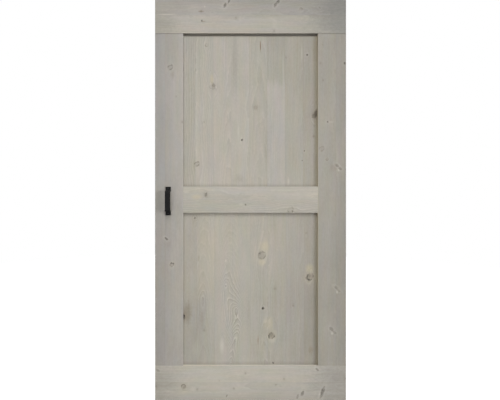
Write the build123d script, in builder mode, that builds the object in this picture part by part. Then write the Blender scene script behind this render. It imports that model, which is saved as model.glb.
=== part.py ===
from build123d import *
import os

os.makedirs("parts", exist_ok=True)

# Leaf in millimetres: the origin is the middle of the top edge, the front faces -Y
leaf_width = 1000
leaf_height = 2100
leaf_thickness = 44
arris = 0.6

# Face widths of the frame members, each glued up from two staves
top_rail_width = 176
bottom_rail_width = 182
stile_width = 147
middle_rail_width = 138
middle_rail_drop = 1048
stave_width = 95

# Panels of edge-glued boards, held in the groove that runs round each field
panel_thickness = 14
board_width = 94.5
groove_depth = 15
panel_float = 3
head_slot = 10
upper_seam_shift = -6

# Slot along the foot of the leaf that rides over the guide on the floor
guide_slot_width = 10
guide_slot_depth = 18

# Pull bent from flat steel strap, screwed to the front of the left stile
pull_length = 149
pull_reach = 38
pull_inset = 69
pull_drop = 1055
strap_width = 28
strap_thickness = 5
strap_edge = 0.8
foot_length = 21
foot_corner = 2
bend_radius = 6.5
screw_hole = 5
screw_head = 9.5

# Positions that follow from the sizes above
half_width = leaf_width / 2
field_half = half_width - stile_width
front = -leaf_thickness / 2
top_shoulder = -top_rail_width
bottom_shoulder = bottom_rail_width - leaf_height
middle_top = middle_rail_width / 2 - middle_rail_drop
middle_bottom = -middle_rail_width / 2 - middle_rail_drop
stile_length = top_shoulder - bottom_shoulder
pull_x = pull_inset - half_width


def planed_blank(x_from, x_to, z_from, z_to):
    """One frame member planed to thickness, the corners of both faces eased."""
    with BuildPart() as blank:
        with BuildSketch(Plane.XZ):
            with Locations(((x_from + x_to) / 2, (z_from + z_to) / 2)):
                Rectangle(x_to - x_from, z_to - z_from)
        extrude(amount=leaf_thickness / 2, both=True)
        chamfer(blank.faces().filter_by(Axis.Y).edges(), arris)
    return blank.part


def saw_into_staves(member, seam, upper_name, lower_name):
    """The two staves of a member, parted at the glue line between them."""
    for name, kept in ((upper_name, Keep.TOP), (lower_name, Keep.BOTTOM)):
        with BuildPart() as stave:
            add(member)
            split(bisect_by=seam, keep=kept)
        stave.part.label = name
        export_step(stave.part, f"parts/{name}.step")


# Top rail: full width, grooved below for the panel and the tenons of the stiles
with BuildPart() as top_rail:
    add(planed_blank(-half_width, half_width, top_shoulder, 0))
    with BuildSketch(Plane.YZ.offset(-half_width)):
        with Locations((0, top_shoulder)):
            Rectangle(panel_thickness, groove_depth, align=(Align.CENTER, Align.MIN))
    extrude(amount=leaf_width, mode=Mode.SUBTRACT)
saw_into_staves(
    top_rail.part,
    Plane.XY.offset(top_shoulder + stave_width),
    "top_rail_upper_stave",
    "top_rail_lower_stave",
)

# Bottom rail: full width, grooved above like the top rail, slotted below for the guide
with BuildPart() as bottom_rail:
    add(planed_blank(-half_width, half_width, -leaf_height, bottom_shoulder))
    with BuildSketch(Plane.YZ.offset(-half_width)):
        with Locations((0, bottom_shoulder)):
            Rectangle(panel_thickness, groove_depth, align=(Align.CENTER, Align.MAX))
        with Locations((0, -leaf_height)):
            Rectangle(guide_slot_width, guide_slot_depth, align=(Align.CENTER, Align.MIN))
    extrude(amount=leaf_width, mode=Mode.SUBTRACT)
saw_into_staves(
    bottom_rail.part,
    Plane.XY.offset(stave_width - leaf_height),
    "bottom_rail_upper_stave",
    "bottom_rail_lower_stave",
)

# Stiles: between the rails, a tenon at each end, grooved along the edge by the fields
for side_name, side in (("left", -1), ("right", 1)):
    stile_middle = side * (half_width + field_half) / 2
    with BuildPart() as stile:
        add(
            planed_blank(
                stile_middle - stile_width / 2,
                stile_middle + stile_width / 2,
                bottom_shoulder,
                top_shoulder,
            )
        )
        with BuildSketch(Plane.XZ):
            with Locations((stile_middle, (top_shoulder + bottom_shoulder) / 2)):
                Rectangle(stile_width, stile_length + 2 * groove_depth)
        extrude(amount=panel_thickness / 2, both=True)
        with BuildSketch(Plane.XY.offset(bottom_shoulder - groove_depth)):
            with Locations((side * (field_half + groove_depth / 2), 0)):
                Rectangle(groove_depth, panel_thickness)
        extrude(amount=stile_length + 2 * groove_depth, mode=Mode.SUBTRACT)
    saw_into_staves(
        stile.part,
        Plane(origin=(side * (field_half + stave_width), 0, 0), z_dir=(side, 0, 0)),
        f"{side_name}_stile_outer_stave",
        f"{side_name}_stile_inner_stave",
    )

# Middle rail: tenoned into the grooves of both stiles, grooved above and below
with BuildPart() as middle_rail:
    add(planed_blank(-field_half, field_half, middle_bottom, middle_top))
    with BuildSketch(Plane.XZ):
        with Locations((0, -middle_rail_drop)):
            Rectangle(2 * (field_half + groove_depth), middle_rail_width)
    extrude(amount=panel_thickness / 2, both=True)
    with BuildSketch(Plane.YZ.offset(-field_half - groove_depth)):
        with Locations((0, middle_top)):
            Rectangle(panel_thickness, groove_depth, align=(Align.CENTER, Align.MAX))
        with Locations((0, middle_bottom)):
            Rectangle(panel_thickness, groove_depth, align=(Align.CENTER, Align.MIN))
    extrude(amount=2 * (field_half + groove_depth), mode=Mode.SUBTRACT)
saw_into_staves(
    middle_rail.part,
    Plane.XY.offset(-middle_rail_drop),
    "middle_rail_upper_stave",
    "middle_rail_lower_stave",
)

# Panels: boards standing in the lower groove, free to swell in the grooves at the sides;
# the lower panel also enters the groove above it, the upper one leaves an open slot there
panel_half = field_half + groove_depth - panel_float
seams_each_side = int(panel_half // board_width)
seam_steps = range(-seams_each_side, seams_each_side + 1)
for field_name, panel_foot, panel_head, seam_shift in (
    ("upper", middle_top - groove_depth, top_shoulder - head_slot, upper_seam_shift),
    ("lower", bottom_shoulder - groove_depth, middle_bottom + groove_depth - panel_float, 0),
):
    seams = [board_width * step + seam_shift for step in seam_steps]
    board_edges = [-panel_half, *seams, panel_half]
    for number, (x_from, x_to) in enumerate(zip(board_edges, board_edges[1:]), start=1):
        with BuildPart() as board:
            with BuildSketch(Plane.XZ):
                with Locations(((x_from + x_to) / 2, (panel_foot + panel_head) / 2)):
                    Rectangle(x_to - x_from, panel_head - panel_foot)
            extrude(amount=panel_thickness / 2, both=True)
        board.part.label = f"{field_name}_panel_board_{number}"
        export_step(board.part, f"parts/{field_name}_panel_board_{number}.step")

# Pull: one strap, its feet flat on the stile, its grip standing clear for the fingers
foot_line = front - strap_thickness / 2
grip_line = front - pull_reach + strap_thickness / 2
pull_head = pull_length / 2 - pull_drop
pull_foot = -pull_length / 2 - pull_drop
upper_leg = pull_head - foot_length - strap_thickness / 2
lower_leg = pull_foot + foot_length + strap_thickness / 2
screw_in_foot = (foot_length - bend_radius + strap_thickness / 2) / 2
with BuildPart() as pull_handle:
    with BuildSketch(Plane.YZ.offset(pull_x - strap_width / 2)):
        with BuildLine():
            FilletPolyline(
                (foot_line, pull_head),
                (foot_line, upper_leg),
                (grip_line, upper_leg),
                (grip_line, lower_leg),
                (foot_line, lower_leg),
                (foot_line, pull_foot),
                radius=bend_radius,
            )
        trace(line_width=strap_thickness)
    extrude(amount=strap_width)
    ends = pull_handle.faces().filter_by(Axis.Z).sort_by(Axis.Z)
    fillet((ends[0].edges() + ends[-1].edges()).filter_by(Axis.Y), foot_corner)
    fillet(pull_handle.faces().filter_by(Axis.X).edges().filter_by(Axis.Z), strap_edge)
    with Locations(
        Plane(origin=(pull_x, front - strap_thickness, pull_head - screw_in_foot), z_dir=(0, -1, 0)),
        Plane(origin=(pull_x, front - strap_thickness, pull_foot + screw_in_foot), z_dir=(0, -1, 0)),
    ):
        CounterSinkHole(radius=screw_hole / 2, counter_sink_radius=screw_head / 2, counter_sink_angle=90)
pull_handle.part.label = "pull_handle"
export_step(pull_handle.part, "parts/pull_handle.step")
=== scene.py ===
# A barn-style sliding door leaf of grey-stained spruce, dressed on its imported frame.
# The leaf hangs in metres with its top edge at z = 0, its front facing -Y.
import math

import bpy
import numpy as np
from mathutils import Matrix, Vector


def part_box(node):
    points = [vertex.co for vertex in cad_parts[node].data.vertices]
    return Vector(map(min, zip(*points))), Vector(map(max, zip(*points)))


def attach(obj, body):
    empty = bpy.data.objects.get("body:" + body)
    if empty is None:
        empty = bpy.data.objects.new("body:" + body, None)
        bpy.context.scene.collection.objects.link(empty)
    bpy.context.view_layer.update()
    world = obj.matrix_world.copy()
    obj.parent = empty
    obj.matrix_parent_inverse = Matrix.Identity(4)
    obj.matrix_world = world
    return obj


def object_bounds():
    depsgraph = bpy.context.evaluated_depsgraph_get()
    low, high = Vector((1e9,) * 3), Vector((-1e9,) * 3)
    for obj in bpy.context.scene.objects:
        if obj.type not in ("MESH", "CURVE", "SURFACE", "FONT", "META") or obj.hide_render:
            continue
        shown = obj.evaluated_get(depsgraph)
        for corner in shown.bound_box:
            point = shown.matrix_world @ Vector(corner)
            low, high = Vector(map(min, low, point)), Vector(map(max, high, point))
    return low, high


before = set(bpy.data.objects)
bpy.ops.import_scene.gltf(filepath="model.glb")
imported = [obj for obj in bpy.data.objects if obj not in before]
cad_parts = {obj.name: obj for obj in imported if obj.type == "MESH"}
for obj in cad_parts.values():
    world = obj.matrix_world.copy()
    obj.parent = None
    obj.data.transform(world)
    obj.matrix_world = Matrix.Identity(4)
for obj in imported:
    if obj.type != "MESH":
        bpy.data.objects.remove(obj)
cad_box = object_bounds()


# Panel boards: planed spruce, glued edge to edge and let into the grooves of the frame.
# Every board comes from another place in the log, so rings, knots and stain differ; the
# grey stain was brushed on after the leaf was put together.
class Field:
    """A value that varies over a board; arithmetic on it adds the matching Math node."""

    def __init__(self, socket):
        self.socket = socket

    def worked(self, operation, *others):
        node = self.socket.id_data.nodes.new("ShaderNodeMath")
        node.operation = operation
        for entry, value in zip(node.inputs, (self, *others)):
            feed(entry, value)
        return Field(node.outputs[0])

    def __add__(self, other):
        return self.worked("ADD", other)

    def __sub__(self, other):
        return self.worked("SUBTRACT", other)

    def __mul__(self, other):
        return self.worked("MULTIPLY", other)

    def __truediv__(self, other):
        return self.worked("DIVIDE", other)

    def __pow__(self, other):
        return self.worked("POWER", other)


def feed(entry, value):
    """Links a field or a socket to a node's entry, or sets a constant there."""
    if isinstance(value, Field):
        value = value.socket
    if isinstance(value, bpy.types.NodeSocket):
        entry.id_data.links.new(value, entry)
    else:
        entry.default_value = value


def rise(value, low, high):
    """0 up to low, 1 from high on, a smooth step between; it falls where low is the larger."""
    node = value.socket.id_data.nodes.new("ShaderNodeMapRange")
    node.interpolation_type = "SMOOTHSTEP"
    for entry, number in zip(node.inputs, (value, low, high)):
        feed(entry, number)
    return Field(node.outputs[0])


def shared_pattern(name, entries, build):
    """Keeps fields that many boards use as one node group: build gets the entries as fields
    and gives back the results."""
    group = bpy.data.node_groups.new(name, "ShaderNodeTree")
    for entry in entries:
        group.interface.new_socket(entry, in_out="INPUT", socket_type="NodeSocketFloat")
    entrance = group.nodes.new("NodeGroupInput")
    results = build(*(Field(socket) for socket in entrance.outputs[: len(entries)]))
    leaving = group.nodes.new("NodeGroupOutput")
    for number, result in enumerate(results):
        group.interface.new_socket(f"result_{number}", in_out="OUTPUT", socket_type="NodeSocketFloat")
        feed(leaving.inputs[number], result)
    return group


def laid(group, first, *others):
    """One copy of a shared pattern in the tree of its first entry; gives its results as fields."""
    node = first.socket.id_data.nodes.new("ShaderNodeGroup")
    node.node_tree = group
    for entry, value in zip(node.inputs, (first, *others)):
        feed(entry, value)
    return [Field(socket) for socket in node.outputs]


def mottle(across, along, depth, salt, wide, long, detail=2.0):
    """Noise in patches so wide across the grain and so long along it, mostly from -1 to 1."""
    tree = across.socket.id_data
    place = tree.nodes.new("ShaderNodeCombineXYZ")
    for entry, value in zip(place.inputs, (across / wide + salt, along / long, depth / wide)):
        feed(entry, value)
    node = tree.nodes.new("ShaderNodeTexNoise")
    node.inputs["Scale"].default_value = 1.0
    node.inputs["Detail"].default_value = detail
    feed(node.inputs["Vector"], place.outputs[0])
    return Field(node.outputs[0]) * 4.0 - 2.0


def blend(amount, under, over):
    """One colour laid over another by an amount from 0 to 1; sockets 6, 7 and 2 of the Mix
    node are its colours."""
    node = amount.socket.id_data.nodes.new("ShaderNodeMix")
    node.data_type = "RGBA"
    feed(node.inputs[0], amount)
    feed(node.inputs[6], under)
    feed(node.inputs[7], over)
    return node.outputs[2]


def shaded(colour, shade):
    """A colour made lighter or darker by a field."""
    node = shade.socket.id_data.nodes.new("ShaderNodeVectorMath")
    node.operation = "SCALE"
    feed(node.inputs[0], colour)
    feed(node.inputs["Scale"], shade)
    return node.outputs[0]


def tinted(colour, redder, bluer):
    """A colour whose red and blue are each raised by a field's share of them."""
    tree = redder.socket.id_data
    tint = tree.nodes.new("ShaderNodeCombineXYZ")
    for entry, share in zip(tint.inputs, (redder + 1.0, 1.0, bluer + 1.0)):
        feed(entry, share)
    node = tree.nodes.new("ShaderNodeVectorMath")
    node.operation = "MULTIPLY"
    feed(node.inputs[0], colour)
    feed(node.inputs[1], tint.outputs[0])
    return node.outputs[0]


def stain(red, green, blue):
    """A stain colour as it is read off a colour card, 0 to 255, turned into linear light."""
    card = np.array((red, green, blue)) / 255
    linear = np.where(card <= 0.04045, card / 12.92, ((card + 0.055) / 1.055) ** 2.4)
    return (*map(float, linear), 1.0)


pale = stain(181.3, 176, 165.3)
rosy = stain(182, 176, 164)
moss = stain(180.6, 176, 164.4)
slate = stain(181, 176, 168)
dove = stain(179.6, 176, 170.5)
blue_grey_painted_shade = stain(143, 142, 137)
chalk = stain(204, 199, 188)
resin = stain(198, 188, 160)
rust = stain(118, 84, 62)
brown = stain(140, 128, 108)
knot_brown = stain(112, 103, 91)
knot_dark = stain(34, 30, 29)


def deep(colour, share):
    """A stain that took darker by a share of its light."""
    red, green, blue, _ = colour
    return (red * (1 - share), green * (1 - share), blue * (1 - share), 1.0)


def spruce_grain(across, along, depth, pushed, salt, aside, inwards, ring):
    """Rings as circles about the heart of the log, which lies aside and inwards and wanders
    along the board: each ends in dark late wood and starts with pale pores, some years more
    than others. With them the fine fibre, streaks, bands, clouds, flecks and slow drift of the
    stain, and where it turned redder or bluer."""
    nowhere = across * 0.0
    wander = mottle(nowhere, along, nowhere, salt, 1.0, 0.5)
    sideways = pushed - aside + wander * 0.008
    inwards = inwards + wander * 0.004
    radius = (sideways * sideways + inwards * inwards) ** 0.5
    ragged = mottle(across, along, depth, salt + 3, 0.020, 0.06, 3.0) * 0.3
    age = radius / ring + ragged
    season = age.worked("FRACT")
    year = mottle(age, nowhere, nowhere, salt + 4, 1.6, 1.0) * 0.45 + 0.8
    rings = season ** 4.0 * rise(season, 1.0, 0.9) - rise(season, 0.3, 0.0) * 0.7
    late_wood = rings * year
    fibre = mottle(across, along, depth, salt + 5, 0.0016, 0.05, 3.0)
    streak = mottle(across, along, depth, salt + 7, 0.009, 0.35, 3.0)
    band = mottle(across, along, depth, salt + 9, 0.026, 0.6)
    cloud = mottle(across, along, depth, salt + 11, 0.05, 0.09)
    fleck = mottle(across, along, depth, salt + 13, 0.009, 0.014, 2.0)
    drift = mottle(across, along, depth, salt + 15, 0.09, 0.3)
    redder = mottle(across, along, depth, salt + 17, 0.03, 0.12)
    bluer = mottle(across, along, depth, salt + 19, 0.03, 0.16)
    return late_wood, fibre, streak, band, cloud, fleck, drift, redder, bluer


def spruce_knot(right, down, beside, ahead, depth, half_width, tall, lean):
    """Core, rim and halo of a knot, and how far it pushes the rings aside. The first three
    follow the distance from its middle, right and down in half widths, stretched upright,
    leaning and ragged; the rim shows only round a part of the core. The push follows the
    distance beside the knot and ahead along the grain."""
    sideways = (right + down * lean) / half_width
    upright = down / (half_width * tall)
    squared = sideways * sideways + upright * upright
    salt = half_width * 900.0 + tall * 7.0
    lumps = mottle(sideways, upright, depth, salt, 1.5, 1.5)
    away = squared ** 0.5 + lumps * 0.3 + mottle(right, down, depth, salt, 0.005, 0.005) * 0.2
    core = rise(away, 1.15, 0.3) * (rise(away, 0.25, 0.5) * rise(away, 0.75, 0.5) * 0.5 + 0.7)
    part = mottle(sideways, upright, depth, salt + 4.0, 2.0, 2.0)
    rim = rise(away, 0.6, 0.9) * rise(away, 1.35, 1.0) * rise(part, -0.8, 0.7)
    halo = rise(away, 3.0, 0.9)
    near_by = beside / half_width
    reach = near_by * near_by * 0.1 + (ahead / half_width) ** 2.0 * 0.025
    push = beside * (reach * -1.0).worked("EXPONENT") * 0.8
    return core, rim, halo, push


def stain_wash(x, drop, middle_x, middle_drop, half_wide, half_tall, streak, fleck):
    """How much of a wash lies at a point: full in its middle, fading to a ragged edge."""
    over_x = (x - middle_x) / half_wide
    over_drop = (drop - middle_drop) / half_tall
    spread = (over_x * over_x + over_drop * over_drop) ** 0.5 + streak * 0.16 + fleck * 0.12
    return (rise(spread, 1.3, 0.2),)


def log_swelling(x, drop, middle_x, middle_drop, half_wide, half_tall):
    """A bump in the log: a bell curve of the distance from its middle, in half sizes."""
    over_x = (x - middle_x) / half_wide
    over_drop = (drop - middle_drop) / half_tall
    return (((over_x * over_x + over_drop * over_drop) * -1.0).worked("EXPONENT"),)


grain_pattern = shared_pattern(
    "spruce_grain",
    ("across", "along", "depth", "pushed", "salt", "aside", "inwards", "ring"),
    spruce_grain,
)
knot_pattern = shared_pattern(
    "spruce_knot",
    ("right", "down", "beside", "ahead", "depth", "half_width", "tall", "lean"),
    spruce_knot,
)
wash_pattern = shared_pattern(
    "stain_wash",
    ("x", "drop", "middle_x", "middle_drop", "half_wide", "half_tall", "streak", "fleck"),
    stain_wash,
)
swelling_pattern = shared_pattern(
    "log_swelling",
    ("x", "drop", "middle_x", "middle_drop", "half_wide", "half_tall"),
    log_swelling,
)

# A pin knot is dark right through; spike, blade, slant and brush knots are cut along their
# length, the blade's being the longest; a ringed one has a dark rim about a core like the wood,
# a soft one is a brown shade. Each gives how tall it is for its width, its lean to the right, the
# stain of the halo and how much of it, how much brown and dark the core takes, and the rim's dark
knot_kinds = {
    "pin": (1.1, 0.0, chalk, 0.20, 1.0, 0.9, 0.3),
    "spike": (2.0, 0.3, chalk, 0.25, 0.8, 0.6, 0.6),
    "blade": (3.2, 0.35, chalk, 0.25, 0.8, 0.6, 0.6),
    "slant": (1.1, -0.6, chalk, 0.25, 0.8, 0.5, 0.6),
    "brush": (2.2, -0.1, brown, 0.40, 0.9, 0.9, 0.3),
    "ringed": (1.1, 0.1, resin, 0.25, 0.35, 0.05, 1.0),
    "soft": (1.2, 0.0, brown, 0.20, 0.7, 0.1, 0.15),
}


def near(marks, low, high, reach=0.05):
    """Of a member's marks, the ones on a board or close enough to show on it."""
    return [
        mark
        for mark in marks
        if low.x - reach < mark[0] < high.x + reach and -high.z - reach < mark[1] < -low.z + reach
    ]


def stained_spruce(
    name, lying, stains, heart, knots=(), washes=(), flames=(), painted_shade_pools=(), painted_top_light=0.0, log=""
):
    """Dresses a board in stained spruce. Stains are the one at its head, the one at its foot and
    the two drops (or, lying, the two x) between which they change. The heart of the log lies
    at `heart` = (aside of the board's middle, behind its face, nearer per metre, width of a
    ring, how strongly the rings show). Knots are (x, drop, width, darkness, kind); washes,
    where the stain took otherwise (and a few painted warm light in the right stile's shadow),
    are (x, drop, wide, tall, colour, strength); flames, where the log swelled by so many rings,
    its heart bent aside and its rings show more, are (x, drop, wide, tall, rings, bend, strength).
    Painted shade darkens the colour towards a line, and painted light (strength below 0)
    lightens it; each is (axis, place, reach, strength).
    The painted top light lightens what faces up. Boards that name the same log share its pattern of grain."""
    low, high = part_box(name)
    salt = sum(map(ord, log or name)) * 1.37
    material = bpy.data.materials.new(name + "_stained_spruce")
    material.use_nodes = True
    tree = material.node_tree
    place = tree.nodes.new("ShaderNodeTexCoord")
    parts = tree.nodes.new("ShaderNodeSeparateXYZ")
    feed(parts.inputs[0], place.outputs["Object"])
    x, depth, z = map(Field, parts.outputs)
    drop = z * -1.0
    turned = tree.nodes.new("ShaderNodeSeparateXYZ")
    feed(turned.inputs[0], place.outputs["Normal"])
    facing_x, facing_y, facing_z = map(Field, turned.outputs)
    if lying:
        across, along = drop, x
        edges = (-high.z, -low.z)
        ends = (low.x, high.x)
        end_grain = facing_x
    else:
        across, along = x, drop
        edges = (low.x, high.x)
        ends = (-high.z, -low.z)
        end_grain = facing_z
    on_end = rise(end_grain.worked("ABSOLUTE"), 0.6, 0.9)
    on_face = rise(facing_y.worked("ABSOLUTE"), 0.6, 0.9)

    marks = []
    pushed = across
    for knot_x, knot_drop, width, darkness, kind in near(knots, low, high):
        right, down = x - knot_x, drop - knot_drop
        beside, ahead = (down, right) if lying else (right, down)
        tall, lean = knot_kinds[kind][:2]
        core, rim, halo, push = laid(knot_pattern, right, down, beside, ahead, depth, width / 2, tall, lean)
        marks.append((core, rim, halo, darkness, kind))
        pushed = pushed - push

    aside, behind, nearer, ring, figure = heart
    inwards = depth + (along - sum(ends) / 2) * nearer - (low.y + behind)
    heart_line = sum(edges) / 2 + aside
    quiet = 1.0
    quieter_in_flames = 0.25
    for flame_x, flame_drop, wide, tall, rings, bend, strength in near(flames, low, high, 0.04):
        [swelling] = laid(swelling_pattern, x, drop, flame_x, flame_drop, wide / 2, tall / 2)
        inwards = inwards + swelling * (rings * ring)
        pushed = pushed - swelling * bend
        figure = swelling * strength + figure
        quiet = swelling * -quieter_in_flames + quiet
    late_wood, fibre, streak, band, cloud, fleck, drift, redder, bluer = laid(
        grain_pattern, across, along, depth, pushed, salt, heart_line, inwards, ring
    )
    head, foot, change = stains
    colour = blend(rise(along + cloud * 0.03 + streak * 0.02, *change), head, foot)
    colour = tinted(colour, redder * 0.032, bluer * 0.052)
    for wash_x, wash_drop, wide, tall, tint, strength in near(washes, low, high):
        [amount] = laid(wash_pattern, x, drop, wash_x, wash_drop, wide / 2, tall / 2, streak, fleck)
        colour = blend(amount * strength, colour, tint)
    contrast = band * 0.03 + figure
    for core, rim, halo, darkness, kind in marks:
        contrast = contrast + halo * (0.12 * darkness)
    lines = streak * 0.026 + band * 0.018 + fibre * 0.034
    shade = lines * quiet + cloud * 0.024 + fleck * 0.036
    shade = shade + 1.0 + drift * 0.04 - late_wood * contrast
    # Painted shade and light: the colour darkens towards a line, and lightens where the strength is below
    # 0.
    for axis, line, reach, strength in painted_shade_pools:
        away = ((x if axis == "x" else drop) - line).worked("ABSOLUTE")
        shade = shade * (rise(away + streak * 0.0006, reach, 0.0) * -strength + 1.0)
    glue_line = 0.0009
    glue_dark = 0.16
    end_grain_dark = 0.2
    edge = (across - edges[0]).worked("MINIMUM", across * -1.0 + edges[1])
    shade = shade * (rise(edge, glue_line, 0.0) * on_face * -glue_dark + 1.0)
    shade = shade * (on_end * -end_grain_dark + 1.0)
    # Painted highlight: faces that turn up are made lighter.
    shade = shade * (rise(facing_z, 0.5, 0.9) * painted_top_light + 1.0)
    colour = shaded(colour, shade)
    for core, rim, halo, darkness, kind in marks:
        halo_stain, halo_share, core_brown, core_dark, rim_dark = knot_kinds[kind][2:]
        colour = blend(halo * (halo_share * darkness), colour, halo_stain)
        colour = blend(core * (core_brown * darkness), colour, knot_brown)
        darkening = (core * core_dark + rim * rim_dark).worked("MINIMUM", 1.0)
        colour = blend(darkening * darkness, colour, knot_dark)
    fibre_height = 0.00003
    ring_height = 0.00007
    bump = tree.nodes.new("ShaderNodeBump")
    bump.inputs["Distance"].default_value = 1.0
    feed(bump.inputs["Height"], fibre * fibre_height + late_wood * ring_height)
    shader = tree.nodes["Principled BSDF"]
    shader.inputs["Specular IOR Level"].default_value = 0.3
    feed(shader.inputs["Base Color"], colour)
    feed(shader.inputs["Roughness"], streak * 0.05 + fleck * 0.03 + 0.68)
    feed(shader.inputs["Normal"], bump.outputs[0])
    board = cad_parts[name]
    board.data.materials.clear()
    board.data.materials.append(material)


field_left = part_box("left_stile_inner_stave")[1].x
field_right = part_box("right_stile_inner_stave")[0].x
field_foot = -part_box("middle_rail_upper_stave")[1].z
lower_head = -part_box("middle_rail_lower_stave")[0].z
lower_foot = -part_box("bottom_rail_upper_stave")[1].z
panel_knots = (
    (-0.230, 0.232, 0.016, 0.35, "ringed"),
    (-0.193, 0.447, 0.020, 0.60, "soft"),
    (-0.200, 0.448, 0.030, 0.25, "ringed"),
    (-0.244, 0.638, 0.010, 0.45, "soft"),
    (-0.282, 0.860, 0.024, 0.45, "ringed"),
    (-0.044, 0.732, 0.013, 0.70, "pin"),
    (0.028, 0.559, 0.028, 0.35, "soft"),
    (0.300, 0.283, 0.012, 0.65, "pin"),
    (0.347, 0.592, 0.022, 0.95, "spike"),
    (0.338, 0.606, 0.034, 0.85, "soft"),
    (0.334, 0.712, 0.013, 0.45, "soft"),
    (0.285, 0.791, 0.009, 0.45, "pin"),
    (0.274, 0.842, 0.008, 0.30, "pin"),
    (0.188, 0.299, 0.009, 0.25, "soft"),
    (-0.292, 1.144, 0.013, 0.45, "pin"),
    (-0.292, 1.144, 0.026, 0.20, "ringed"),
    (0.060, 1.342, 0.036, 0.75, "ringed"),
    (0.314, 1.454, 0.034, 0.80, "ringed"),
    (0.313, 1.450, 0.013, 0.50, "soft"),
    (0.066, 1.620, 0.014, 1.00, "pin"),
    (0.113, 1.764, 0.028, 0.95, "ringed"),
    (0.112, 1.760, 0.022, 0.50, "soft"),
    (0.129, 1.516, 0.012, 0.40, "soft"),
    (0.226, 1.606, 0.011, 0.35, "soft"),
    (-0.352, 1.662, 0.016, 0.95, "brush"),
    (-0.244, 1.736, 0.013, 0.35, "soft"),
    (0.295, 1.223, 0.011, 0.35, "soft"),
    (0.120, 1.908, 0.011, 0.60, "pin"),
)
panel_washes = (
    (-0.264, 0.458, 0.007, 0.560, deep(moss, 0.12), 0.6),
    (-0.204, 0.413, 0.026, 0.060, resin, 0.6),
    (-0.081, 0.270, 0.040, 0.520, deep(pale, 0.15), 0.9),
    (-0.062, 0.690, 0.012, 0.090, chalk, 0.35),
    (0.053, 0.239, 0.006, 0.062, rust, 0.8),
    (-0.057, 0.939, 0.060, 0.050, brown, 0.20),
    (0.083, 0.690, 0.030, 0.420, deep(moss, 0.11), 0.7),
    (0.173, 0.353, 0.005, 0.230, chalk, 0.45),
    (0.271, 0.278, 0.005, 0.090, chalk, 0.40),
    (0.201, 0.950, 0.014, 0.050, chalk, 0.35),
    # The next five washes, along the field's right edge, are painted warm shade: the brown of light bounced
    # off the stile into its shadow.
    (0.350, 0.600, 0.040, 0.120, brown, 0.40),
    (0.350, 0.240, 0.050, 0.180, brown, 0.30),
    (0.353, 0.820, 0.030, 0.320, brown, 0.20),
    (0.353, 0.580, 0.040, 3.0, deep(resin, 0.30), 0.5),
    (0.353, 1.520, 0.040, 3.0, deep(resin, 0.30), 0.5),
    (-0.224, 1.300, 0.130, 0.400, deep(resin, 0.10), 0.20),
    (-0.272, 1.358, 0.016, 0.040, brown, 0.25),
    (-0.245, 1.600, 0.045, 0.120, deep(slate, 0.12), 0.75),
    (-0.208, 1.625, 0.030, 0.110, deep(rosy, -0.02), 0.50),
    (-0.283, 1.840, 0.050, 0.100, chalk, 0.18),
    (-0.255, 1.680, 0.030, 0.090, brown, 0.25),
    (-0.150, 1.818, 0.026, 0.085, chalk, 0.45),
    (0.072, 1.293, 0.060, 0.070, resin, 0.55),
    (0.061, 1.378, 0.050, 0.045, resin, 0.45),
    (0.313, 1.409, 0.050, 0.055, resin, 0.65),
    (0.095, 1.702, 0.055, 0.080, resin, 0.40),
    (0.116, 1.790, 0.036, 0.030, chalk, 0.30),
    (-0.330, 1.640, 0.050, 0.120, brown, 0.50),
    (0.041, 1.788, 0.006, 0.050, rust, 0.40),
    (0.319, 1.841, 0.030, 0.050, brown, 0.40),
)
panel_flames = (
    (-0.252, 1.570, 0.050, 0.110, 1.6, 0.0, 0.22),
    (-0.128, 1.366, 0.034, 0.044, 1.6, -0.028, 0.22),
    (-0.130, 1.497, 0.036, 0.060, 1.6, 0.0, 0.10),
    (-0.128, 1.530, 0.150, 0.220, 0.0, -0.028, 0.23),
    (-0.073, 1.627, 0.040, 0.060, 1.8, 0.0, 0.12),
    (-0.073, 1.690, 0.160, 0.260, 0.0, 0.034, 0.28),
    (-0.074, 1.765, 0.060, 0.080, 1.2, 0.0, 0.06),
    (-0.068, 1.830, 0.130, 0.200, 0.0, 0.0, 0.16),
)
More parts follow.
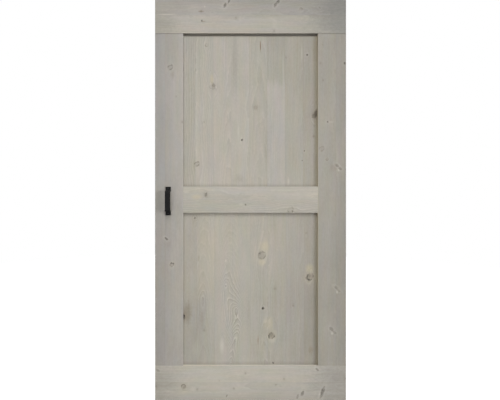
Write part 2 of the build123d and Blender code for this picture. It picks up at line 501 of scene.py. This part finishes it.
panel_boards = {
    "upper": (
        (deep(moss, 0.09), deep(moss, 0.09), (0.3, 0.8), (-0.070, 0.150, 0.0, 0.0065, 0.19)),
        (deep(moss, 0.035), deep(pale, 0.01), (0.3, 0.8), (-0.060, 0.120, 0.0, 0.0060, 0.17)),
        (deep(pale, 0.010), deep(rosy, -0.005), (0.3, 0.9), (0.040, 0.090, 0.03, 0.0050, 0.11)),
        (deep(pale, 0.005), deep(pale, 0.005), (0.4, 0.65), (0.060, 0.080, 0.0, 0.0045, 0.09)),
        (deep(moss, 0.07), deep(rosy, 0.035), (0.4, 0.7), (0.010, 0.090, 0.03, 0.0060, 0.10)),
        (deep(moss, 0.14), deep(slate, 0.035), (0.40, 0.46), (-0.050, 0.080, 0.0, 0.0050, 0.08)),
        (deep(rosy, 0.14), deep(moss, 0.085), (0.40, 0.66), (0.050, 0.080, 0.01, 0.0050, 0.07)),
        (deep(rosy, 0.18), deep(rosy, 0.125), (0.4, 0.8), (-0.080, 0.100, 0.0, 0.0050, 0.08)),
    ),
    "lower": (
        (deep(rosy, 0.00), deep(moss, 0.09), (1.4, 1.75), (-0.100, 0.100, 0.0, 0.0050, 0.10)),
        (deep(rosy, 0.00), deep(moss, 0.10), (1.4, 1.7), (-0.012, 0.100, 0.05, 0.0045, 0.09)),
        (deep(rosy, 0.035), deep(pale, 0.065), (1.3, 1.6), (0.042, 0.075, 0.12, 0.0044, 0.08)),
        (deep(moss, 0.05), deep(moss, 0.08), (1.3, 1.7), (-0.053, 0.075, 0.12, 0.0044, 0.08)),
        (deep(rosy, 0.055), deep(moss, 0.11), (1.3, 1.6), (0.040, 0.080, 0.02, 0.0050, 0.12)),
        (deep(rosy, 0.035), deep(moss, 0.09), (1.3, 1.6), (-0.060, 0.080, 0.0, 0.0050, 0.08)),
        (deep(pale, 0.02), deep(pale, 0.09), (1.3, 1.6), (0.050, 0.080, 0.01, 0.0055, 0.09)),
        (deep(rosy, 0.065), deep(rosy, 0.135), (1.3, 1.6), (0.090, 0.100, 0.0, 0.0050, 0.09)),
    ),
}
# Painted shade on the fields: in the corners along the stiles and rails, under the middle rail and towards
# the sides, where the light falls off. Those below 0 are painted light beside the stiles' edges.
panel_painted_shade = {
    "upper": (
        ("x", field_left, 0.008, 0.19),
        ("x", field_left + 0.010, 0.004, -0.05),
        ("x", field_right, 0.12, 0.06),
        ("x", field_right, 0.04, -0.08),
        ("drop", field_foot, 0.020, 0.16),
    ),
    "lower": (
        ("x", field_left, 0.20, 0.15),
        ("x", field_left, 0.010, 0.08),
        ("x", field_right, 0.40, 0.16),
        ("x", field_right, 0.09, 0.05),
        ("x", field_right, 0.04, -0.08),
        ("drop", lower_head, 0.025, 0.16),
        ("drop", lower_foot, 0.025, 0.16),
    ),
}
flat_sawn_boards = ("lower_panel_board_3", "lower_panel_board_4")
for panel, boards in panel_boards.items():
    for number, (*stains, heart) in enumerate(boards, start=1):
        name = f"{panel}_panel_board_{number}"
        stained_spruce(
            name,
            False,
            stains,
            heart,
            panel_knots,
            panel_washes,
            panel_flames,
            panel_painted_shade[panel],
            log="flat sawn plank" if name in flat_sawn_boards else "",
        )


# Middle rail: two staves glued edge to edge, tenoned between the stiles and flush with them.
# The upper stave is quarter sawn and plain, the lower one shows its rings in long waves.
middle_knots = (
    (-0.236, 1.024, 0.024, 0.50, "soft"),
    (-0.233, 1.021, 0.011, 0.45, "spike"),
    (-0.026, 1.074, 0.011, 0.45, "pin"),
    (0.219, 1.109, 0.010, 0.55, "pin"),
    (0.210, 1.099, 0.030, 0.40, "ringed"),
)
middle_washes = (
    (-0.283, 1.034, 0.060, 0.030, resin, 0.60),
    (-0.050, 1.071, 0.030, 0.014, chalk, 0.30),
)
# Beside the middle rail's seam the upper stave is painted darker and the lower one lighter: painted shade
# and painted light.
middle_seam = -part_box("middle_rail_upper_stave")[0].z
stained_spruce(
    "middle_rail_upper_stave",
    True,
    (deep(pale, -0.03), deep(pale, -0.03), (-0.2, 0.2)),
    (0.020, 0.120, 0.0, 0.0060, 0.08),
    middle_knots,
    middle_washes,
    painted_shade_pools=(("drop", middle_seam, 0.030, 0.04),),
)
stained_spruce(
    "middle_rail_lower_stave",
    True,
    (deep(moss, 0.06), deep(pale, 0.05), (-0.2, 0.2)),
    (0.060, 0.030, 0.015, 0.0085, 0.22),
    middle_knots,
    middle_washes,
    painted_shade_pools=(("drop", middle_seam, 0.014, -0.03),),
)

# Stiles: two staves each, between the rails, the pull's stile on the left.
# They are quarter sawn, so the stain lies on them as an even, fine mottling.
stile_knots = (
    (-0.420, 0.355, 0.024, 0.45, "ringed"),
    (-0.389, 0.507, 0.010, 0.35, "soft"),
    (-0.358, 0.641, 0.012, 0.40, "soft"),
    (-0.442, 1.252, 0.014, 0.80, "slant"),
    (-0.413, 1.389, 0.019, 0.75, "ringed"),
    (0.377, 0.236, 0.010, 0.30, "soft"),
    (0.366, 0.333, 0.012, 0.30, "soft"),
    (0.493, 0.333, 0.014, 0.65, "pin"),
    (0.380, 0.423, 0.009, 0.40, "soft"),
    (0.404, 0.641, 0.010, 0.50, "pin"),
    (0.372, 0.782, 0.024, 0.25, "ringed"),
    (0.401, 0.835, 0.013, 0.45, "ringed"),
    (0.453, 0.868, 0.017, 0.60, "slant"),
    (0.469, 0.884, 0.017, 0.50, "slant"),
    (0.448, 1.507, 0.017, 0.45, "slant"),
    (0.460, 1.523, 0.015, 0.30, "slant"),
    (0.424, 1.727, 0.019, 0.45, "slant"),
    (0.441, 1.742, 0.016, 0.30, "slant"),
)
stile_washes = (
    (-0.410, 0.394, 0.030, 0.050, brown, 0.30),
    (-0.430, 1.275, 0.030, 0.050, brown, 0.15),
    (-0.378, 1.450, 0.040, 0.900, deep(rosy, 0.15), 0.60),
    (-0.470, 1.760, 0.090, 0.360, deep(dove, 0.24), 0.40),
    (0.388, 0.400, 0.070, 0.400, deep(pale, 0.23), 0.50),
    (0.435, 0.880, 0.050, 0.050, brown, 0.25),
    # This thin resin strip on the right stile's inner edge is painted light on the side face that edges the
    # field.
    (0.353, 1.050, 0.003, 3.0, resin, 0.80),
    (0.420, 0.641, 0.030, 0.010, chalk, 0.30),
    (0.461, 0.893, 0.012, 0.016, chalk, 0.60),
    (0.453, 1.531, 0.012, 0.018, chalk, 0.60),
    (0.427, 1.748, 0.012, 0.018, chalk, 0.50),
)
joint = -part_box("top_rail_lower_stave")[0].z
leaf_left, leaf_right = cad_box[0].x, cad_box[1].x
# Painted shade on the stiles: in the joint under the top rail and towards the outer edges, where the light
# falls off. The one below 0 is painted light beside the left field.
stile_painted_shade = (
    ("drop", joint, 0.007, 0.36),
    ("x", leaf_left, 0.15, 0.14),
    ("x", leaf_left, 0.008, 0.05),
    ("x", field_left, 0.006, -0.05),
    ("x", leaf_right, 0.10, 0.11),
    ("x", leaf_right, 0.010, 0.07),
)
for name, head, foot, heart in (
    ("left_stile_outer_stave", deep(dove, 0.065), deep(slate, 0.155), (-0.050, 0.120, 0.0, 0.0040, 0.04)),
    ("left_stile_inner_stave", deep(slate, 0.065), deep(slate, 0.155), (0.030, 0.120, 0.01, 0.0040, 0.04)),
    ("right_stile_inner_stave", deep(pale, 0.165), deep(pale, 0.25), (0.050, 0.120, 0.0, 0.0040, 0.04)),
    ("right_stile_outer_stave", deep(pale, 0.165), deep(pale, 0.25), (-0.040, 0.120, 0.01, 0.0040, 0.04)),
):
    stained_spruce(name, False, (head, foot, (0.7, 1.5)), heart, stile_knots, stile_washes, (), stile_painted_shade)

# Top and bottom rails: two staves each, over the full width, lapping the ends of the stiles.
# Their ends are painted darker, shade where the light falls off to the sides, and the right end of the top
# rail also bluer.
rail_knots = (
    (-0.133, 0.026, 0.015, 0.65, "spike"),
    (-0.112, 0.005, 0.013, 0.65, "spike"),
    (0.131, 0.023, 0.015, 0.65, "spike"),
    (0.146, 0.007, 0.014, 0.75, "spike"),
    (-0.259, 0.061, 0.012, 0.45, "soft"),
    (-0.255, 0.110, 0.012, 0.50, "pin"),
    (-0.077, 0.095, 0.012, 0.30, "soft"),
    (0.262, 0.051, 0.018, 0.30, "ringed"),
    (0.363, 0.043, 0.010, 0.30, "slant"),
    (0.123, 0.164, 0.012, 0.45, "soft"),
    (-0.027, 1.957, 0.011, 0.45, "soft"),
    (-0.164, 1.995, 0.010, 0.30, "soft"),
    (0.175, 1.987, 0.012, 0.40, "soft"),
    (0.133, 2.017, 0.011, 0.40, "soft"),
    (-0.088, 2.036, 0.012, 0.40, "soft"),
    (-0.350, 2.028, 0.022, 0.55, "ringed"),
    (-0.347, 2.030, 0.016, 0.50, "soft"),
    (-0.280, 2.041, 0.012, 0.35, "soft"),
    (-0.125, 2.077, 0.008, 0.50, "spike"),
    (0.273, 2.058, 0.016, 0.60, "spike"),
    (0.246, 2.079, 0.012, 0.40, "spike"),
    (0.377, 2.055, 0.017, 0.65, "blade"),
    (0.348, 1.937, 0.014, 0.50, "slant"),
    (-0.498, 2.024, 0.014, 0.50, "soft"),
    (-0.486, 1.940, 0.016, 0.40, "slant"),
    (0.498, 1.985, 0.012, 0.45, "soft"),
)
rail_washes = (
    # The large moss, slate and blue grey washes at the rails' ends are painted shade where the light falls
    # off to the sides.
    (-0.50, 0.12, 0.28, 0.20, deep(moss, 0.24), 0.75),
    (-0.44, 0.078, 0.12, 0.010, chalk, 0.5),
    (0.50, 0.12, 0.40, 0.22, blue_grey_painted_shade, 0.8),
    (0.48, 0.03, 0.29, 0.12, blue_grey_painted_shade, 0.7),
    (0.125, 0.125, 0.030, 0.080, chalk, 0.15),
    (-0.297, 0.045, 0.090, 0.070, chalk, 0.13),
    (-0.240, 0.037, 0.010, 0.016, chalk, 0.5),
    (-0.259, 0.061, 0.036, 0.010, brown, 0.6),
    (-0.246, 0.115, 0.024, 0.008, brown, 0.5),
    (-0.50, 2.01, 0.28, 0.28, deep(moss, 0.27), 0.75),
    (0.50, 2.00, 0.38, 0.28, deep(slate, 0.31), 0.75),
    (-0.30, 2.040, 0.040, 0.030, chalk, 0.25),
    (0.362, 2.070, 0.012, 0.030, chalk, 0.4),
)
top_seam = -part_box("top_rail_upper_stave")[0].z
# Painted shade on the rails: darker towards the top and foot of the leaf and towards its sides, where the
# light falls off.
rail_painted_shade = (
    ("drop", -cad_box[1].z, 0.035, 0.09),
    ("drop", -cad_box[0].z, 0.050, 0.10),
    ("x", leaf_left, 0.010, 0.06),
    ("x", leaf_right, 0.010, 0.08),
)
# The seam column is painted shade beside the top rail's seam (below 0, painted light); the last column is
# the painted top light, taken only by the bottom rail's upper stave.
for name, head, foot, heart, seam_painted_shade, painted_top_light in (
    (
        "top_rail_upper_stave",
        deep(slate, 0.12),
        deep(slate, 0.205),
        (0.030, 0.120, 0.01, 0.0045, 0.08),
        -0.06,
        0.0,
    ),
    (
        "top_rail_lower_stave",
        deep(pale, -0.01),
        deep(pale, 0.07),
        (-0.040, 0.120, 0.01, 0.0045, 0.08),
        0.05,
        0.0,
    ),
    (
        "bottom_rail_upper_stave",
        deep(pale, -0.03),
        deep(pale, 0.03),
        (0.020, 0.120, 0.0, 0.0045, 0.07),
        0.0,
        0.5,
    ),
    (
        "bottom_rail_lower_stave",
        deep(pale, 0.04),
        deep(pale, 0.09),
        (-0.030, 0.120, 0.01, 0.0055, 0.08),
        0.0,
        0.0,
    ),
):
    stained_spruce(
        name,
        True,
        (head, foot, (-0.2, 0.4)),
        heart,
        rail_knots,
        rail_washes,
        painted_shade_pools=(*rail_painted_shade, ("drop", top_seam, 0.018, seam_painted_shade)),
        painted_top_light=painted_top_light,
    )


# Pull: one flat steel strap bent to a bow, its feet screwed to the left stile.
# It is powder coated in matt black.
def powder_coat(name, colour, roughness):
    """Black powder coat: a fine orange peel and slightly uneven gloss."""
    material = bpy.data.materials.new(name)
    material.use_nodes = True
    tree = material.node_tree
    place = tree.nodes.new("ShaderNodeTexCoord")
    parts = tree.nodes.new("ShaderNodeSeparateXYZ")
    feed(parts.inputs[0], place.outputs["Object"])
    peel = mottle(*map(Field, parts.outputs), 2.0, 0.0012, 0.0012)
    wear = mottle(*map(Field, parts.outputs), 6.0, 0.012, 0.03)
    bump = tree.nodes.new("ShaderNodeBump")
    bump.inputs["Distance"].default_value = 1.0
    feed(bump.inputs["Height"], peel * 0.00003)
    shader = tree.nodes["Principled BSDF"]
    shader.inputs["Specular IOR Level"].default_value = 0.25
    feed(shader.inputs["Base Color"], blend(rise(wear, -0.6, 1.0), colour, deep(colour, 0.3)))
    feed(shader.inputs["Roughness"], peel * 0.06 + wear * 0.05 + roughness)
    feed(shader.inputs["Normal"], bump.outputs[0])
    return material


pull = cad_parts["pull_handle"]
pull.data.materials.clear()
pull.data.materials.append(powder_coat("matt_black_powder_coat", stain(18, 18, 19), 0.55))


# Screws of the pull: countersunk wood screws of blackened steel, one through each foot,
# driven flush with a cross driver.
def wood_screw(head_radius, shank_radius, length):
    """A profile of radius and depth turned about the screw's axis: over the flat head to its
    rim, down the 90 degree cone, along the shank and in to the point. On the head the depth is
    that of two crossed slots, deepest in the middle. Gives points (x, y inwards, z) and faces."""
    facets = 64
    head_rings = 24
    cone_rings = 4
    around = np.linspace(0, 2 * np.pi, facets + 1)[:-1]
    over_head = np.linspace(0, head_radius, head_rings + 1)[1:]
    down_cone = np.linspace(head_radius, shank_radius, cone_rings + 1)[1:]
    radius = np.concatenate((over_head, down_cone, (shank_radius,)))
    cone_depth = np.linspace(0, head_radius - shank_radius, cone_rings + 1)[1:]
    point_starts = length - 2 * shank_radius
    depth = np.concatenate((np.zeros(head_rings), cone_depth, (point_starts,)))
    x = radius[:, None] * np.cos(around)
    z = radius[:, None] * np.sin(around)
    slot_half = head_radius * 0.13
    slot_reach = head_radius * 0.6
    slot_depth = head_radius * 0.4
    beside = np.minimum(np.abs(x), np.abs(z))
    along = np.maximum(np.abs(x), np.abs(z))
    wall = np.clip(2 - beside / slot_half * 1.6, 0, 1)
    slots = wall * np.clip((slot_reach - along) / slot_reach, 0, 1) ** 0.6 * slot_depth
    on_head = (np.arange(len(radius)) < head_rings)[:, None]
    y = depth[:, None] + np.where(on_head, slots, 0)
    rings = np.stack((x, y, z), axis=-1).reshape(-1, 3)
    points = np.concatenate((rings, ((0, slot_depth, 0), (0, length, 0))))
    index = np.arange(len(rings)).reshape(len(radius), len(around))
    ahead = np.roll(index, -1, axis=1)
    sides = np.stack((index[:-1], index[1:], ahead[1:], ahead[:-1]), axis=-1).reshape(-1, 4)
    middle, tip = len(rings), len(rings) + 1
    crown = np.stack((np.full(facets, middle), index[0], ahead[0]), axis=-1)
    point = np.stack((index[-1], np.full(facets, tip), ahead[-1]), axis=-1)
    return points, sides.tolist() + crown.tolist() + point.tolist()


strap_thickness = 0.005
screw_from_end = 0.0085
screw_sunk = 0.0001
screw_head_radius = 0.0046
screw_shank_radius = 0.0023
screw_length = 0.025
pull_low, pull_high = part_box("pull_handle")
blackened_steel = powder_coat("blackened_steel", stain(26, 26, 27), 0.4)
for name, screw_z in (
    ("upper_pull_screw", pull_high.z - screw_from_end),
    ("lower_pull_screw", pull_low.z + screw_from_end),
):
    points, faces = wood_screw(screw_head_radius, screw_shank_radius, screw_length)
    points += ((pull_low.x + pull_high.x) / 2, pull_high.y - strap_thickness + screw_sunk, screw_z)
    mesh = bpy.data.meshes.new(name)
    mesh.from_pydata(points.tolist(), [], faces)
    mesh.materials.append(blackened_steel)
    screw = bpy.data.objects.new(name, mesh)
    bpy.context.collection.objects.link(screw)
    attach(screw, "root")


# The studio: a pale floor just under the leaf and a white surround. Soft lights stand on the
# right at the height of the pull, above the front, behind the leaf and low in front on the left.
floor_reach = 6.0
floor_drop = 2.108
floor_sides = 64
around = np.linspace(0, 2 * np.pi, floor_sides + 1)[:-1]
floor_mesh = bpy.data.meshes.new("pale_floor")
rim_x = np.cos(around) * floor_reach
rim_y = np.sin(around) * floor_reach
rim_points = np.stack((rim_x, rim_y, np.full(floor_sides, -floor_drop)), axis=1)
floor_mesh.from_pydata(rim_points.tolist(), [], [list(range(floor_sides))])
floor = bpy.data.objects.new("pale_floor", floor_mesh)
bpy.context.collection.objects.link(floor)
pale_paint = bpy.data.materials.new("pale_floor_paint")
pale_paint.use_nodes = True
tree = pale_paint.node_tree
seen = tree.nodes.new("ShaderNodeLightPath")
shader = tree.nodes["Principled BSDF"]
shader.inputs["Base Color"].default_value = (0.5, 0.5, 0.5, 1.0)
shader.inputs["Roughness"].default_value = 0.9
shader.inputs["Emission Color"].default_value = (1.0, 1.0, 1.0, 1.0)
feed(shader.inputs["Emission Strength"], Field(seen.outputs["Is Camera Ray"]) * 0.97)
floor_mesh.materials.append(pale_paint)

surround = bpy.data.worlds.new("white_surround")
surround.use_nodes = True
bpy.context.scene.world = surround
tree = surround.node_tree
seen = tree.nodes.new("ShaderNodeLightPath")
air = tree.nodes["Background"]
air.inputs["Color"].default_value = (1.0, 1.0, 1.0, 1.0)
feed(air.inputs["Strength"], Field(seen.outputs["Is Camera Ray"]) * 0.75 + 0.25)


def softbox(name, place, target, wide, tall, watts, spread=180):
    """A rectangular soft light that faces its target."""
    lamp = bpy.data.lights.new(name, "AREA")
    lamp.shape = "RECTANGLE"
    lamp.size = wide
    lamp.size_y = tall
    lamp.energy = watts
    lamp.spread = math.radians(spread)
    stand = bpy.data.objects.new(name, lamp)
    bpy.context.collection.objects.link(stand)
    stand.location = place
    facing = Vector(target) - Vector(place)
    stand.rotation_euler = facing.to_track_quat("-Z", "Y").to_euler()
    stand.visible_camera = False


softbox("side_light", (6.2, -5.0, -0.75), (-2.4, 0, -3.0), 3.9, 2.6, 61.8, 64)
softbox("overhead_light", (-0.15, -2.4, 1.5), (-0.1, 0, -3.3), 2.6, 1.8, 32.6, 121)
softbox("back_light", (0.6, 4.0, 1.6), (0, 0, -1.1), 3.0, 2.0, 20.0, 70)
softbox("front_light", (-2.5, -4.2, -1.58), (-0.2, 0, -1.78), 2.4, 1.0, 8.2, 100)

eye = bpy.data.cameras.new("camera")
eye.sensor_width = 36
eye.lens = 30.245
eye.shift_x = 0.0703
camera = bpy.data.objects.new("camera", eye)
bpy.context.collection.objects.link(camera)
camera.location = (-0.187, -2.222, -1.0495)
camera.rotation_euler = (math.radians(90), 0, 0)
bpy.context.scene.camera = camera
bpy.context.scene.view_settings.view_transform = "Standard"
